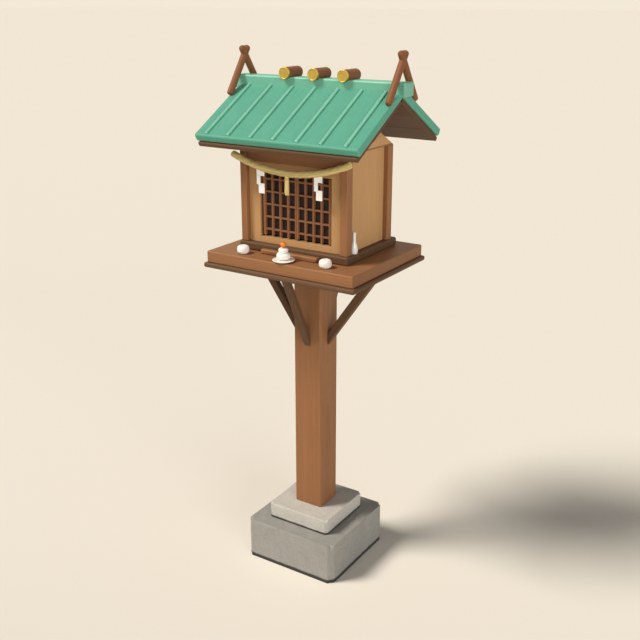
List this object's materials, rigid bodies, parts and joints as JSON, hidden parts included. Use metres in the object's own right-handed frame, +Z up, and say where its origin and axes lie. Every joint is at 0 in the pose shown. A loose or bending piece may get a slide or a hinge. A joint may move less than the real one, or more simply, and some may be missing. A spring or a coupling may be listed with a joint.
{
  "type": "roadside shrine",
  "caption": "Small gabled wooden shrine with opening lattice doors on a braced post that stands on two cut stones.",
  "frame": {"origin": "on the ground, under the middle of the post and of the square lower stone", "axes": "+Z up, the doors face -Y, +X runs to the right along the ridge as seen from the front"},
  "size_m": [0.648, 0.543, 1.8146],
  "materials": {
    "weathered_stone": "rough, weathered granite",
    "pale_stone": "rough, pale granite",
    "post_cedar": "oiled, with fine straight grain",
    "slab_cedar": "oiled, with fine straight grain",
    "dark_timber": "dark stained",
    "pale_cypress": "bare planed cypress",
    "lattice_wood": "stained",
    "black_stained_wood": "near-black stain",
    "bark_brown_log": "peeled and stained round wood",
    "green_roof": "matt verdigris green",
    "pale_green_roof": "matt verdigris, a paler green",
    "gilt_metal": "gilt, slightly dulled",
    "rice_straw": "twisted rice straw",
    "white_paper": "plain white paper",
    "white_ceramic": "glossy white glaze",
    "rice_cake": "dusted matt white",
    "orange_peel": "dimpled peel"
  },
  "bodies": {
    "root": {"lower_stone": "weathered_stone", "upper_stone": "pale_stone", "main_post": "post_cedar", "brace_left": "dark_timber", "brace_right": "dark_timber", "brace_front": "dark_timber", "brace_back": "dark_timber", "platform_tray": "dark_timber", "platform_slab": "slab_cedar", "plinth": "dark_timber", "step_bar": "slab_cedar", "corner_post_front_left": "post_cedar", "corner_post_front_right": "post_cedar", "corner_post_back_left": "post_cedar", "corner_post_back_right": "post_cedar", "front_panel_left": "pale_cypress", "front_panel_right": "pale_cypress", "door_sill": "pale_cypress", "door_header": "pale_cypress", "side_wall_left": "pale_cypress", "side_wall_right": "pale_cypress", "back_wall": "pale_cypress", "front_beam": "post_cedar", "back_beam": "post_cedar", "ceiling_board": "pale_cypress", "gable_board_left": "pale_cypress", "gable_board_right": "pale_cypress", "roof_frame_left": "dark_timber", "roof_frame_right": "dark_timber", "roof_boards_front": "dark_timber", "roof_boards_back": "dark_timber", "roof_sheet_front": "green_roof", "roof_sheet_back": "green_roof", "ridge_cap": "pale_green_roof", "crossed_logs_left": "bark_brown_log", "crossed_logs_right": "bark_brown_log", "ridge_logs": "bark_brown_log", "log_end_caps": "gilt_metal", "straw_rope": "rice_straw", "rope_pegs": "dark_timber", "rope_tassel": "rice_straw", "streamer_left": "white_paper", "streamer_right": "white_paper", "offering_dish": "white_ceramic", "rice_cakes": "rice_cake", "orange": "orange_peel", "side_cake_left": "rice_cake", "side_cake_right": "rice_cake", "vase_left": "white_ceramic", "vase_right": "white_ceramic"},
    "door_left": {"door_lattice_left": "lattice_wood", "door_backing_left": "black_stained_wood"},
    "door_right": {"door_lattice_right": "lattice_wood", "door_backing_right": "black_stained_wood"}
  },
  "joints": [
    {"name": "door_left_hinge", "type": "hinge", "parent": "root", "child": "door_left", "pos_m": [-0.1275, -0.1089, 1.3205], "axis": [0, 0, 1], "range_deg": [0, 88]},
    {"name": "door_right_hinge", "type": "hinge", "parent": "root", "child": "door_right", "pos_m": [0.1275, -0.1089, 1.3205], "axis": [0, 0, -1], "range_deg": [0, 88]}
  ]
}
